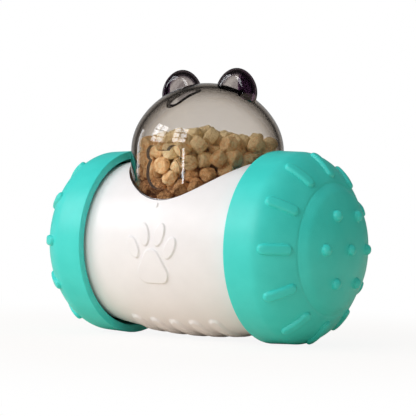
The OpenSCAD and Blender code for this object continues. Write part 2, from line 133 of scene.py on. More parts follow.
# Head
DOME_R = 39.2
DOME_H = 35.2
DOME_Z = 47.5
DOME_WALL = 2.0
DOME_IN_R = DOME_R - DOME_WALL
DOME_EDGE_R = 29.92
SKIRT_Z = 18.6
HEAD_SEGMENTS = 288
FLANGE_R = 39.5
FLANGE_T = 0.5
FLANGE_ROUND = 0.2
FLANGE_DROP = 1.3
EAR_X = 17.0
EAR_Z = 78.5
EAR_R = 11.6
EAR_T = 11.4
EAR_TAPER = 0.13
EAR_RINGS = 5
EAR_SEGMENTS = 112
EARS_FROM_Z = DOME_Z + 10.0
# Where the painted shade on the ears starts, and how soft its edge is
EAR_DARK_X = 21.4
EAR_DARK_BLUR = 0.4
NEAR = 0.06

# Outlet
OUTLET_Z = 36.0
OUTLET_W = 20.4
OUTLET_H = 16.8
LOBE_R = 3.7
LOBE_X = 6.8
LOBE_Z = 9.3
BROW_Z = 10.5
OUTLET_FRONT = -42.0
OUTLET_BACK = -33.0
OUTLET_FLARE = 1.0
OUTLET_SIDE_ROOM = 2.0
OUTLET_LOW_ROOM = 1.6

# Hopper and the heap of treats in it
DECK_TOP = 18.0
CUP_TOP = 22.0
CUP_IN_R = 35.0
HEAP_X = 7.0
HEAP_TOP = 65.5
HEAP_FALL = 11.0
TREAT_SEED = 11
TREAT_COUNT = 350
TREAT_BALL_R = 4.1
TREAT_R = (3.7, 4.3)
TREAT_HALF_H = (2.7, 3.4)
TREAT_FLAT_N = 0.42
TREAT_SIDE_N = 0.34
TREAT_GRAIN = 0.018
TREAT_ROWS = 17
TREAT_COLS = 26
TREAT_GAP = 0.25
TREAT_LIFT = 0.1
POUR_R = 31.0
POUR_TOP = 56.0
SETTLE_STEPS = 260
SETTLE_PUSH = 0.32
SETTLE_DROP = 0.04
# A random shade of each treat's own colour, and painted light that pales treats towards the heap's top
TONE_RANDOM = 0.3
PAINTED_TOP_LIGHT = 0.7

# Tints of the smoke plastic by how far it is seen edge on
DOME_TINT = ((0.38, (1.0, 1.0, 1.0)), (0.64, (0.44, 0.42, 0.4)),
             (0.86, (0.08, 0.075, 0.075)), (1.0, (0.03, 0.03, 0.03)))
EAR_TINT = ((0.08, (1.0, 1.0, 1.0)), (0.2, (0.36, 0.33, 0.36)),
            (0.34, (0.04, 0.03, 0.045)), (1.0, (0.012, 0.01, 0.014)))
# Colour of the painted shade on the ears' outer front halves
EAR_PAINTED_SHADE = (0.035, 0.014, 0.04)
CUT_TINT = ((0.0, (0.2, 0.19, 0.195)), (1.0, (0.08, 0.075, 0.085)))
RIM_TINT = ((0.0, (0.36, 0.34, 0.335)), (1.0, (0.1, 0.095, 0.1)))
SMOKE_IOR = 1.5
SMOKE_COLOUR = (0.62, 0.55, 0.47, 1.0)
SMOKE_DENSITY = 300.0

# Floor, world and lamps, in metres and watts
FLOOR_HALF = 4.0
FLOOR_COLOUR = (0.92, 0.8, 0.68, 1.0)
FLOOR_GLOW = 0.9
FLOOR_NEAR = 0.09
FLOOR_FAR = 0.3
WORLD_DARK = 0.08
PANEL_EDGE = (0.8, 0.95)
GLOSS_SHARE = 0.35
FILL_LOW = 0.32
FILL_HIGH = 0.58
FILL_FROM = (-0.8, -0.5, 0.33)
FILL_TINT = (1.0, 0.91, 0.81, 1.0)
LAMP_COLOUR = (0.94, 0.955, 1.0)
LAMP_FAR = 1.4
HEAD_MIDDLE = Vector((0.0, 0.0, 0.1))
PANE_SHARE = 0.82

# Camera, as fitted to the photograph: degrees, metres and pixels
VIEW_TURN = math.radians(35.35)
VIEW_RISE = math.radians(1.33)
VIEW_ROLL = math.radians(1.40)
VIEW_FAR = 0.8248
FOCAL_PX = 1605.0
FRAME_PX = 416.0
AXLE_PX = (205.3, 244.2)
SENSOR_MM = 36.0


# Mesh helpers

def new_object(name, verts, faces, sharp=None):
    """Object from points around the axle's centre; edges sharper than an angle stay sharp."""
    mesh = bpy.data.meshes.new(name)
    points = (np.asarray(verts, dtype=float) + [0.0, 0.0, AXLE_Z]) * MM
    mesh.from_pydata(points.tolist(), [], [list(map(int, f)) for f in faces])
    mesh.update()
    mesh.shade_smooth()
    if sharp is not None:
        mesh.set_sharp_from_angle(angle=math.radians(sharp))
    obj = bpy.data.objects.new(name, mesh)
    bpy.context.collection.objects.link(obj)
    return obj


def grid_faces(rows, cols, wrap=False, flip=False, start=0):
    """Quads over a grid of points in rows; wrap joins the last column to the first."""
    r = np.arange(rows - 1)[:, None]
    c = np.arange(cols if wrap else cols - 1)[None, :]
    a = r * cols + c
    b = r * cols + (c + 1) % cols
    quads = np.stack([a, b, b + cols, a + cols], axis=-1).reshape(-1, 4) + start
    return quads[:, ::-1] if flip else quads


def smooth_step(x, low, high):
    t = np.clip((x - low) / (high - low), 0.0, 1.0)
    return t * t * (3.0 - 2.0 * t)


def stadium_distance(p, q, half_len, r):
    """Signed distance to a bar with round ends along p."""
    return np.hypot(np.maximum(np.abs(p) - half_len, 0.0), q) - r


def finish_piece(obj, body, slot, *nodes):
    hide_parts(*nodes)
    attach(obj, body)


def apply_modifiers(obj):
    """Puts the mesh that the modifiers make in the object's place."""
    deps = bpy.context.evaluated_depsgraph_get()
    mesh = bpy.data.meshes.new_from_object(obj.evaluated_get(deps))
    obj.modifiers.clear()
    old = obj.data
    obj.data = mesh
    bpy.data.meshes.remove(old)


def boolean(obj, tool, operation):
    """Joins or cuts obj with tool, and removes tool."""
    mod = obj.modifiers.new("cut", "BOOLEAN")
    mod.operation = operation
    mod.solver = "EXACT"
    mod.object = tool
    apply_modifiers(obj)
    bpy.data.objects.remove(tool)


# Wheels

def crown_s(r):
    """Depth of the crown, from the rim, at a radius."""
    return SIDE_W + CROWN_H * (1.0 - (r / SHOULDER_R) ** CROWN_N) ** (1.0 / CROWN_N)


def disc_lift(r):
    """How far a wheel's face stands above the crown, inside the groove."""
    return DISC_H * smooth_step(GROOVE_R - r, 0.0, DISC_EDGE) * smooth_step(r, *DISC_MIDDLE)


def run_length(line):
    """Length along a polyline at each of its points."""
    steps = np.hypot(*np.diff(line, axis=0).T)
    return np.concatenate([[0.0], np.cumsum(steps)])


def crown_places(crown, length):
    """Lengths along the crown at which its points lie."""
    ends = [float(np.interp(-r, -crown[:, 0], length)) for r, _ in CROWN_STEPS] + [length[-1] - 0.05]
    starts = [0.0] + ends[:-1]
    steps = [step for _, step in CROWN_STEPS] + [CROWN_LAST_STEP]
    runs = [np.linspace(lo, hi, max(2, int(round((hi - lo) / step)) + 1))[:-1]
            for lo, hi, step in zip(starts, ends, steps)]
    return np.append(np.concatenate(runs), length[-1] - 0.02)


def wheel_profile():
    """Radius and depth of a wheel's section, from inside over the rim to the crown's middle.

    Also its outward normals, and which points are the crown's.
    """
    a = np.linspace(0.0, math.pi / 2, 3000)
    crown = np.column_stack([
        SHOULDER_R * np.cos(a).clip(0.0) ** (2 / CROWN_N),
        SIDE_W + CROWN_H * np.sin(a) ** (2 / CROWN_N)])
    t = np.radians(np.linspace(0.0, 90.0, 6))
    lip_s = LIP_EDGE - LIP_EDGE * np.cos(t)
    lip_out = np.column_stack([WHEEL_R - LIP_EDGE + LIP_EDGE * np.sin(t), lip_s])
    lip_in = np.column_stack([WHEEL_R - LIP_WALL + LIP_EDGE - LIP_EDGE * np.sin(t), lip_s])[::-1]
    side_s = np.linspace(SIDE_FROM, SIDE_W, 12)[:-1]
    side = np.column_stack([WHEEL_R - (WHEEL_R - SHOULDER_R) * side_s / SIDE_W, side_s])
    inner_a = np.radians(np.linspace(INSIDE_TURN, 0.0, 14))
    inner = np.column_stack([
        (SHOULDER_R - TYRE_WALL) * np.cos(inner_a) ** (2 / CROWN_N),
        SIDE_W + (CROWN_H - TYRE_WALL) * np.sin(inner_a) ** (2 / CROWN_N)])
    wall_s = np.linspace(SIDE_W - INSIDE_FROM, INSIDE_FROM, 5)
    wall = np.column_stack([WHEEL_R - LIP_WALL - INSIDE_LEAN * wall_s / SIDE_W, wall_s])
    length = run_length(crown)
    places = crown_places(crown, length)
    outer = np.column_stack([np.interp(places, length, crown[:, k]) for k in (0, 1)])
    line = np.vstack([inner, wall, lip_in, lip_out, side, outer])
    ahead = np.vstack([line[1:], line[-1:]]) - np.vstack([line[:1], line[:-1]])
    ahead /= np.linalg.norm(ahead, axis=1)[:, None]
    normal = np.column_stack([ahead[:, 1], -ahead[:, 0]])
    is_crown = np.arange(len(line)) >= len(line) - len(outer)
    return line, normal, is_crown


def bar_angles():
    """Angles around a wheel, close together over the bars."""
    pitch = 360.0 / BAR_COUNT
    near = np.arange(-BAR_TURN, BAR_TURN, BAR_TURN_STEP)
    far = np.linspace(BAR_TURN, pitch - BAR_TURN, 16)[:-1]
    one = np.concatenate([near, far])
    return np.radians(np.concatenate([one + pitch * k for k in range(BAR_COUNT)]))


def nub_mesh(r, angle, side):
    """Small dome with a soft foot that stands on a wheel's crown."""
    t = np.radians(np.linspace(0.0, 90.0, 9))
    foot = np.array(NUB_FOOT) + [NUB_R, 0.0]
    dome = np.column_stack([NUB_R * np.cos(t), NUB_SIDE_H + (NUB_H - NUB_SIDE_H) * np.sin(t)])
    prof = np.vstack([foot, dome[:-1], [[0.05, NUB_H]]]) + [0.0, disc_lift(np.float64(r))]
    turn = np.linspace(0.0, 2 * math.pi, NUB_SEGMENTS, endpoint=False)
    step = 0.05
    slope = 0.0 if r < step else (crown_s(r + step) - crown_s(r - step)) / (2 * step)
    out = np.array([-slope, 1.0]) / math.hypot(slope, 1.0)
    along = np.array([out[1], -out[0]])
    rr, hh = prof[:, :1], prof[:, 1:]
    rad = r + along[0] * rr * np.cos(turn) + out[0] * hh
    dep = crown_s(r) + along[1] * rr * np.cos(turn) + out[1] * hh
    tan = rr * np.sin(turn)
    ca, sa = math.cos(angle), math.sin(angle)
    y = -(rad * ca - tan * sa)
    z = rad * sa + tan * ca
    x = side * (RIM_X + dep)
    verts = np.stack([x, y, z], axis=-1).reshape(-1, 3)
    return verts, grid_faces(len(prof), NUB_SEGMENTS, wrap=True, flip=side > 0)


def tyre(side):
    line, normal, is_crown = wheel_profile()
    angle = bar_angles()
    r, s = line[:, :1], line[:, 1:]
    s_out, s_in = crown_s(BAR_R_OUT), crown_s(BAR_R_IN)
    chord = math.hypot(BAR_R_OUT - BAR_R_IN, s_in - s_out)
    along = np.array([BAR_R_OUT - BAR_R_IN, s_out - s_in]) / chord
    mid = np.array([(BAR_R_OUT + BAR_R_IN) / 2, (s_out + s_in) / 2])
    p = (line - mid) @ along
    pitch = 2 * math.pi / BAR_COUNT
    near = (angle + pitch / 2) % pitch - pitch / 2
    q = r * np.sin(near)[None, :]
    dist = stadium_distance(p[:, None], q, (chord - BAR_W) / 2, BAR_W / 2)
    part = np.clip((BAR_FOOT - dist) / BAR_ROUND, 0.0, 1.0)
    lift = BAR_H * np.sqrt(1.0 - (1.0 - part) ** 2)
    lift = np.where(is_crown[:, None], lift, 0.0)
    groove = GROOVE_DEPTH * np.exp(-((r - GROOVE_R) / GROOVE_W) ** 2)
    lift = lift + (disc_lift(r) - groove) * is_crown[:, None]
    rad = r + normal[:, :1] * lift
    dep = s + normal[:, 1:] * lift
    x = side * (RIM_X + dep)
    y = -rad * np.cos(angle)
    z = rad * np.sin(angle)
    verts = [np.stack([x, y, z], axis=-1).reshape(-1, 3)]
    faces = [grid_faces(len(line), len(angle), wrap=True, flip=side > 0)]
    nubs = [(NUB_RING_R, 2 * math.pi * k / NUB_COUNT) for k in range(NUB_COUNT)] + [(0.0, 0.0)]
    count = len(verts[0])
    for ring_r, a in nubs:
        v, f = nub_mesh(ring_r, a, side)
        verts.append(v)
        faces.append(f + count)
        count += len(v)
    name = "left" if side < 0 else "right"
    obj = new_object("soft_tyre_" + name, np.vstack(verts), np.vstack(faces), sharp=60)
    finish_piece(obj, name + "_wheel", "soft_cover", "tyre_" + name)
    return obj


# Barrel body

def barrel_r(x):
    return BODY_R - BODY_SAG * (x / RIM_X) ** 2


def ellipse_distance(p, q, a, b):
    """About the signed distance to an ellipse."""
    f = np.hypot(p / a, q / b)
    g = np.hypot(p / a ** 2, q / b ** 2) + 1e-9
    return f * (f - 1.0) / g


def paw_distance(x, z):
    """Signed distance to the paw print, seen from the front."""
    d = np.full_like(x, 99.0)
    for side in (-1, 1):
        for tx, tz, lean in TOES:
            a = math.radians(90.0 - side * lean)
            dx, dz = x - side * tx, z - tz
            d = np.minimum(d, ellipse_distance(dx * math.cos(a) + dz * math.sin(a),
                                               -dx * math.sin(a) + dz * math.cos(a), TOE_LONG, TOE_WIDE))
    ax = np.abs(x)
    edge = np.array([PAD_HALF, PAD_LOW - PAD_TOP])
    t = np.clip((ax * edge[0] + (z - PAD_TOP) * edge[1]) / (edge @ edge), 0.0, 1.0)
    slant = np.hypot(ax - t * edge[0], z - PAD_TOP - t * edge[1])
    base = np.hypot(np.maximum(ax - PAD_HALF, 0.0), z - PAD_LOW)
    inside = (z > PAD_LOW) & (ax * edge[1] - (z - PAD_TOP) * edge[0] > 0)
    tri = np.where(inside, -np.minimum(slant, base), np.minimum(slant, base))
    swell = PAD_SWELL * np.clip((z - PAD_LOW) / (PAD_TOP - PAD_LOW), 0.0, 1.0)
    return np.minimum(d, tri - PAD_ROUND - swell)


def relief(x, y, z):
    """Height of the raised paw, tick and belly ribs at points of the barrel."""
    front = y < 0
    paw = smooth_step(-paw_distance(x, z), -0.2, 0.3) * front
    tick_d = stadium_distance(z - TICK_Z, x, TICK_HALF, TICK_R)
    tick = TICK_SHARE * smooth_step(-tick_d, -0.25, 0.25) * front
    rib = np.zeros_like(x)
    for k in range(RIB_COUNT):
        d = stadium_distance(y, x - (k - RIB_COUNT // 2) * RIB_PITCH, RIB_HALF, RIB_R)
        rib = np.maximum(rib, RIB_SHARE * smooth_step(-d, -0.4, 1.6) * (z < 0))
    return RELIEF_H * np.maximum(np.maximum(paw, tick), rib)


def body_shell():
    fine = np.arange(-RELIEF_X, RELIEF_X + 0.01, RELIEF_STEP)
    cols = OPEN_R * np.sin(np.radians(np.linspace(46.0, 90.0, 26)))
    side = np.concatenate([cols, TAIL_X])
    x = np.concatenate([-side[::-1], fine, side])
    rad = barrel_r(x)
    edge = np.degrees(np.arccos(OPEN_Y * np.sqrt(np.maximum(OPEN_R ** 2 - x ** 2, 0.0)) / rad))
    middle = np.concatenate([np.arange(a, b, -step) for a, b, step in TURN_STEPS] + [[BACK_TURN]])
    near = 1.0 - np.linspace(0.0, 1.0, 22)[:-1]
    rows = [FRONT_TURN + (edge - FRONT_TURN) * t for t in near]
    rows += [np.full_like(x, m) for m in middle]
    rows += [BACK_TURN - (edge - FRONT_TURN) * t for t in near[::-1]]
    theta = np.radians(np.array(rows))
    xs = np.broadcast_to(x, theta.shape)
    y0, z0 = -rad * np.cos(theta), rad * np.sin(theta)
    lift = relief(xs, y0, z0)
    lift = lift - END_ROUND * smooth_step(np.abs(xs), END_X - END_ROUND_W, END_X) ** 2
    out = np.stack([xs, -(rad + lift) * np.cos(theta), (rad + lift) * np.sin(theta)], axis=-1)
    n_rows, n_cols = theta.shape
    verts = [out.reshape(-1, 3)]
    faces = [grid_faces(n_rows, n_cols)]
    count = n_rows * n_cols
    # Edge of the opening, front and back
    keep = np.abs(x) <= OPEN_R + 0.01
    for row, flip in ((0, True), (n_rows - 1, False)):
        top = out[row][keep]
        inner_r = barrel_r(top[:, 0]) - BODY_WALL
        low = top.copy()
        low[:, 2] = np.sqrt(np.maximum(inner_r ** 2 - top[:, 1] ** 2, 0.0))
        verts += [top, low]
        faces.append(grid_faces(2, len(top), flip=flip, start=count))
        count += 2 * len(top)
    # Ends of the barrel
    for col, flip in ((0, False), (n_cols - 1, True)):
        outer = out[:, col]
        inner = outer.copy()
        inner[:, 1:] *= (barrel_r(END_X) - BODY_WALL) / np.hypot(outer[:, 1], outer[:, 2])[:, None]
        verts += [outer, inner]
        faces.append(grid_faces(2, len(outer), flip=flip, start=count))
        count += 2 * len(outer)
    obj = new_object("barrel_body", np.vstack(verts), np.vstack(faces))
    weld = obj.modifiers.new("weld", "WELD")
    weld.merge_threshold = 0.01 * MM
    apply_modifiers(obj)
    obj.data.set_sharp_from_angle(angle=math.radians(50))
    finish_piece(obj, "body", "white_shell", "body_shell")
    return obj


def body_inside():
    """The CAD barrel's inner wall, rails, pads, posts and bosses, which the new outside doesn't have."""
    src = frame["nodes"]["body_shell"].data
    pts = np.empty(len(src.vertices) * 3)
    src.vertices.foreach_get("co", pts)
    pts = pts.reshape(-1, 3) / MM - [0.0, 0.0, AXLE_Z]
    painted_shade = np.hypot(pts[:, 1], pts[:, 2]) < barrel_r(pts[:, 0]) - BODY_WALL + NEAR
    faces = [list(poly.vertices) for poly in src.polygons if all(painted_shade[v] for v in poly.vertices)]
    used = sorted({v for f in faces for v in f})
    index = {v: k for k, v in enumerate(used)}
    obj = new_object("barrel_inside", pts[used], [[index[v] for v in f] for f in faces], sharp=25)
    finish_piece(obj, "body", "white_shell", "body_shell")
    return obj


# See-through head

def lathe(name, prof, segments, place=None):
    """Closed solid turned around Z from a profile that starts and ends on the axis."""
    prof = np.asarray(prof, dtype=float)
    turn = np.linspace(0.0, 2 * math.pi, segments, endpoint=False)
    ring = prof[1:-1]
    v = np.stack([ring[:, :1] * np.cos(turn), ring[:, :1] * np.sin(turn),
                  np.repeat(ring[:, 1:], segments, axis=1)], axis=-1)
    verts = np.vstack([v.reshape(-1, 3), [[0, 0, prof[0, 1]], [0, 0, prof[-1, 1]]]])
    n = len(ring)
    faces = [list(f) for f in grid_faces(n, segments, wrap=True)]
    low, top = n * segments, n * segments + 1
    for k in range(segments):
        j = (k + 1) % segments
        faces.append([low, j, k])
        faces.append([top, (n - 1) * segments + k, (n - 1) * segments + j])
    if place is not None:
        verts = place(verts)
    return new_object(name, verts, faces)


def dome_arcs(grow):
    """The dome's radius and height, its edge arc's radius and centre, and its top arc's radius."""
    edge_r, h, r = DOME_EDGE_R + grow, DOME_H + grow, DOME_R + grow
    in_r = r - edge_r
    top_r = (in_r ** 2 + h ** 2 - edge_r ** 2) / (2 * (h - edge_r))
    return r, h, edge_r, in_r, top_r


def dome_profile(grow, from_z):
    """Section of the dome: a straight skirt, a tight arc at the edge and a wide one on top."""
    r, h, edge_r, in_r, top_r = dome_arcs(grow)
    turn = math.atan2(in_r, top_r - h)
    a = np.linspace(0.0, math.pi / 2 - turn, 34)
    b = np.linspace(turn, 0.0, 34)[1:]
    skirt_z = np.linspace(from_z, DOME_Z, 14)[:-1]
    skirt = np.column_stack([np.full_like(skirt_z, r), skirt_z])
    edge = np.column_stack([in_r + edge_r * np.cos(a), DOME_Z + edge_r * np.sin(a)])
    top = np.column_stack([top_r * np.sin(b), DOME_Z + h - top_r + top_r * np.cos(b)])
    return np.vstack([[[0.0, from_z]], skirt, edge, top])


def dome_gap(r, z, grow):
    """Distance from points to the dome's section."""
    full_r, h, edge_r, in_r, top_r = dome_arcs(grow)
    up = z - DOME_Z
    drop = up + top_r - h
    round_part = np.where(np.arctan2(r, drop) < math.atan2(in_r, top_r - h),
                          np.hypot(r, drop) - top_r, np.hypot(r - in_r, up) - edge_r)
    return np.abs(np.where(up < 0, r - full_r, round_part))


def ear_solid(side, grow):
    """Flat pebble with a round edge, standing across the head and narrower at the top."""
    face_r = EAR_R - EAR_T / 2
    half_t = EAR_T / 2 + grow
    a = np.linspace(-math.pi / 2, math.pi / 2, 33)
    rim = np.column_stack([face_r + half_t * np.cos(a), half_t * np.sin(a)])
    flat = np.linspace(0.0, face_r, EAR_RINGS + 1)[:-1]
    prof = np.vstack([np.column_stack([flat, np.full(EAR_RINGS, -half_t)]), rim,
                      np.column_stack([flat[::-1], np.full(EAR_RINGS, half_t)])])

    def stand(v):
        taper = 1.0 - EAR_TAPER * v[:, 1] / EAR_R
        return np.column_stack([v[:, 0] * taper + side * EAR_X, -v[:, 2], v[:, 1] + EAR_Z])

    return lathe("ear", prof, EAR_SEGMENTS, stand)


def flange_ring():
    """Thin ring that follows the barrel just inside the opening."""
    turn = np.linspace(0.0, 2 * math.pi, HEAD_SEGMENTS, endpoint=False)
    inner_r = DOME_R - DOME_WALL / 2
    sect = [(inner_r, 0.0), (FLANGE_R, 0.0), (FLANGE_R, FLANGE_T - FLANGE_ROUND),
            (FLANGE_R - FLANGE_ROUND, FLANGE_T), (inner_r, FLANGE_T)]
    verts = []
    for r, up in sect:
        x, y = r * np.cos(turn), r * np.sin(turn)
        reach = barrel_r(x) - FLANGE_DROP + up
        verts.append(np.column_stack([x, y, np.sqrt(reach ** 2 - y ** 2)]))
    quads = [list(f) for f in grid_faces(len(sect), HEAD_SEGMENTS, wrap=True)]
    last = (len(sect) - 1) * HEAD_SEGMENTS
    for k in range(HEAD_SEGMENTS):
        j = (k + 1) % HEAD_SEGMENTS
        quads.append([last + k, last + j, j, k])
    return new_object("flange", np.vstack(verts), quads)


def prism(outer, inner):
    """Tool through the head's front wall with outlines seen from the front."""
    n = len(outer)
    front = np.column_stack([outer[:, 0], np.full(n, OUTLET_FRONT), outer[:, 1]])
    back = np.column_stack([inner[:, 0], np.full(n, OUTLET_BACK), inner[:, 1]])
    sides = [[n + k, n + (k + 1) % n, (k + 1) % n, k] for k in range(n)]
    ends = [list(range(n)), list(range(n, 2 * n))[::-1]]
    return new_object("tool", np.vstack([front, back]), sides + ends)


def outlet_shapes(grow):
    """Outlines that make up the outlet, all larger by the same width."""
    a = np.radians(np.linspace(-90.0, 90.0, 49))
    half, r = (OUTLET_W - OUTLET_H) / 2, OUTLET_H / 2 + grow
    right = np.column_stack([half + r * np.cos(a), r * np.sin(a)])
    stadium = np.vstack([right, -right])
    top = BROW_Z + grow
    brow = np.array([[-LOBE_X, 0.0], [LOBE_X, 0.0], [LOBE_X, top], [-LOBE_X, top]])
    full = np.linspace(0.0, 2 * math.pi, 64, endpoint=False)
    lobe = (LOBE_R + grow) * np.column_stack([np.cos(full), np.sin(full)])
    shapes = [stadium, brow, lobe + [LOBE_X, LOBE_Z], lobe + [-LOBE_X, LOBE_Z]]
    return [s + [0.0, OUTLET_Z] for s in shapes]


def outlet_tools():
    """The outlet's outlines, a little wider at the front than at the back."""
    return [prism(*pair) for pair in zip(outlet_shapes(OUTLET_FLARE), outlet_shapes(-OUTLET_FLARE))]


def head_dome():
    obj = lathe("clear_head", dome_profile(0.0, SKIRT_Z), HEAD_SEGMENTS)
    for side in (-1, 1):
        boolean(obj, ear_solid(side, 0.0), "UNION")
    boolean(obj, flange_ring(), "UNION")
    hollow = lathe("hollow", dome_profile(-DOME_WALL, SKIRT_Z - 1.0), HEAD_SEGMENTS)
    for side in (-1, 1):
        boolean(hollow, ear_solid(side, -DOME_WALL), "UNION")
    boolean(obj, hollow, "DIFFERENCE")
    for tool in outlet_tools():
        boolean(obj, tool, "DIFFERENCE")
    obj.data.shade_smooth()
    obj.data.set_sharp_from_angle(angle=math.radians(32))
    # Faces of the dome, of the ears, of the flange and of the outlet's edge
    mid = np.empty(len(obj.data.polygons) * 3)
    obj.data.polygons.foreach_get("center", mid)
    x, y, z = (mid.reshape(-1, 3) / MM - [0.0, 0.0, AXLE_Z]).T
    r = np.hypot(x, y)
    on_dome = np.minimum(dome_gap(r, z, 0.0), dome_gap(r, z, -DOME_WALL)) < NEAR
    by_outlet = ((np.abs(x) < OUTLET_W / 2 + OUTLET_SIDE_ROOM) & (y < 0)
                 & (z > OUTLET_Z - OUTLET_H / 2 - OUTLET_LOW_ROOM))
    for name in ("smoke_clear", "smoke_ear", "smoke_cut", "smoke_rim"):
        obj.data.materials.append(mats[name])
    kind = np.where(on_dome, 0, np.where(z > EARS_FROM_Z, 1, np.where(by_outlet, 3, 2)))
    obj.data.polygons.foreach_set("material_index", kind.astype(np.int32))
    finish_piece(obj, "head", "smoke_clear", "head_dome")


# Dry treats

def room_r(z):
    """Inner radius of the cup, the skirt or the dome at a height."""
    up = np.clip((z - DOME_Z) / (DOME_H - DOME_WALL), 0.0, 0.999)
    dome = DOME_IN_R * np.sqrt(1.0 - up ** 2)
    return np.where(z < CUP_TOP, CUP_IN_R, dome)


def heap_z(x, y):
    """Height of the heap's top."""
    return HEAP_TOP - HEAP_FALL * ((x - HEAP_X) ** 2 + y ** 2) / DOME_IN_R ** 2


def settle(count, rad, rng):
    """Centres of treats that have settled in the hopper, as balls that push each other apart."""
    ang = rng.uniform(0.0, 2 * math.pi, count)
    r = POUR_R * np.sqrt(rng.uniform(0.0, 1.0, count))
    pos = np.column_stack([r * np.cos(ang), r * np.sin(ang), rng.uniform(DECK_TOP + rad, POUR_TOP, count)])
    for _ in range(SETTLE_STEPS):
        gap = pos[:, None, :] - pos[None, :, :]
        dist = np.linalg.norm(gap, axis=-1) + np.eye(count) * 99.0
        over = np.maximum(2 * rad - dist, 0.0)
        pos += SETTLE_PUSH * (gap / dist[..., None] * over[..., None]).sum(axis=1)
        pos[:, 2] -= SETTLE_DROP
        flat = np.hypot(pos[:, 0], pos[:, 1])
        reach = room_r(pos[:, 2] + 0.5 * rad) - 0.9 * rad
        scale = np.where(flat > reach, reach / np.maximum(flat, 1e-6), 1.0)
        pos[:, :2] *= scale[:, None]
        top = heap_z(pos[:, 0], pos[:, 1]) - rad * 0.85
        pos[:, 2] = np.clip(pos[:, 2], DECK_TOP + rad * 0.85, top)
    return pos


def random_turn(rng):
    """Turning matrix from a random quaternion."""
    q = rng.normal(size=4)
    q /= np.linalg.norm(q)
    w, a, b, c = q
    return np.array([
        [1 - 2 * (b * b + c * c), 2 * (a * b - c * w), 2 * (a * c + b * w)],
        [2 * (a * b + c * w), 1 - 2 * (a * a + c * c), 2 * (b * c - a * w)],
        [2 * (a * c - b * w), 2 * (b * c + a * w), 1 - 2 * (a * a + b * b)]])


def treat_points(rng):
    """Points of one lumpy, turned puck around its own centre."""
    lat = np.linspace(-math.pi / 2, math.pi / 2, TREAT_ROWS)
    lon = np.linspace(0.0, 2 * math.pi, TREAT_COLS, endpoint=False)
    r = rng.uniform(*TREAT_R)
    h = rng.uniform(*TREAT_HALF_H)
    cz = np.sign(np.sin(lat)) * np.abs(np.sin(lat)) ** TREAT_FLAT_N
    cr = np.abs(np.cos(lat)) ** TREAT_SIDE_N
    p = np.stack([r * cr[:, None] * np.cos(lon), r * cr[:, None] * np.sin(lon),
                  h * np.repeat(cz[:, None], TREAT_COLS, axis=1)], axis=-1)
    n1, n2 = rng.normal(size=3), rng.normal(size=3)
    ph = rng.uniform(0.0, 6.28, 4)
    unit = p / (np.linalg.norm(p, axis=-1, keepdims=True) + 1e-9)
    lump = 0.06 * np.sin(2.3 * unit @ n1 + ph[0]) + 0.05 * np.sin(3.4 * unit @ n2 + ph[1])
    lump = lump + 0.035 * np.sin(6.5 * unit @ n1 + ph[2]) * np.sin(5.5 * unit @ n2 + ph[3])
    lump = lump + rng.normal(scale=TREAT_GRAIN, size=lump.shape)
    p = p * (1.0 + lump[..., None])
    return p.reshape(-1, 3) @ random_turn(rng).T


def keep_inside(p, here):
    """Moves a treat's centre until its points clear the wall and the deck."""
    for _ in range(3):
        world = p + here
        flat = np.hypot(world[:, 0], world[:, 1])
        past = flat - room_r(world[:, 2]) + TREAT_GAP
        worst = int(np.argmax(past))
        if past[worst] > 0:
            here[:2] -= past[worst] * world[worst, :2] / flat[worst]
        low = DECK_TOP + TREAT_LIFT - world[:, 2].min()
        if low > 0:
            here[2] += low
    return here


def treats():
    rng = np.random.default_rng(TREAT_SEED)
    rad = TREAT_BALL_R
    pos = settle(TREAT_COUNT, rad, rng)
    size = TREAT_ROWS * TREAT_COLS
    one = grid_faces(TREAT_ROWS, TREAT_COLS, wrap=True)
    verts, faces, tone_and_painted_light = [], [], []
    for k in range(TREAT_COUNT):
        p = treat_points(rng)
        here = keep_inside(p, pos[k].copy())
        verts.append(p + here)
        faces.append(one + k * size)
        # Painted light: treats higher in the heap are paler, as if lit from above
        high = (here[2] - DECK_TOP - rad) / (HEAP_TOP - DECK_TOP - 3.0 * rad)
        high = float(np.clip(high, 0.0, 1.0))
        tone_and_painted_light.append(np.full(size, TONE_RANDOM * rng.uniform(0.0, 1.0) + PAINTED_TOP_LIGHT * high))
    obj = new_object("treat_heap", np.vstack(verts), np.vstack(faces))
    attr = obj.data.attributes.new("tone_and_painted_light", "FLOAT", "POINT")
    attr.data.foreach_set("value", np.concatenate(tone_and_painted_light))
    finish_piece(obj, "body", "dry_treat", "treats")
    return obj


# Materials

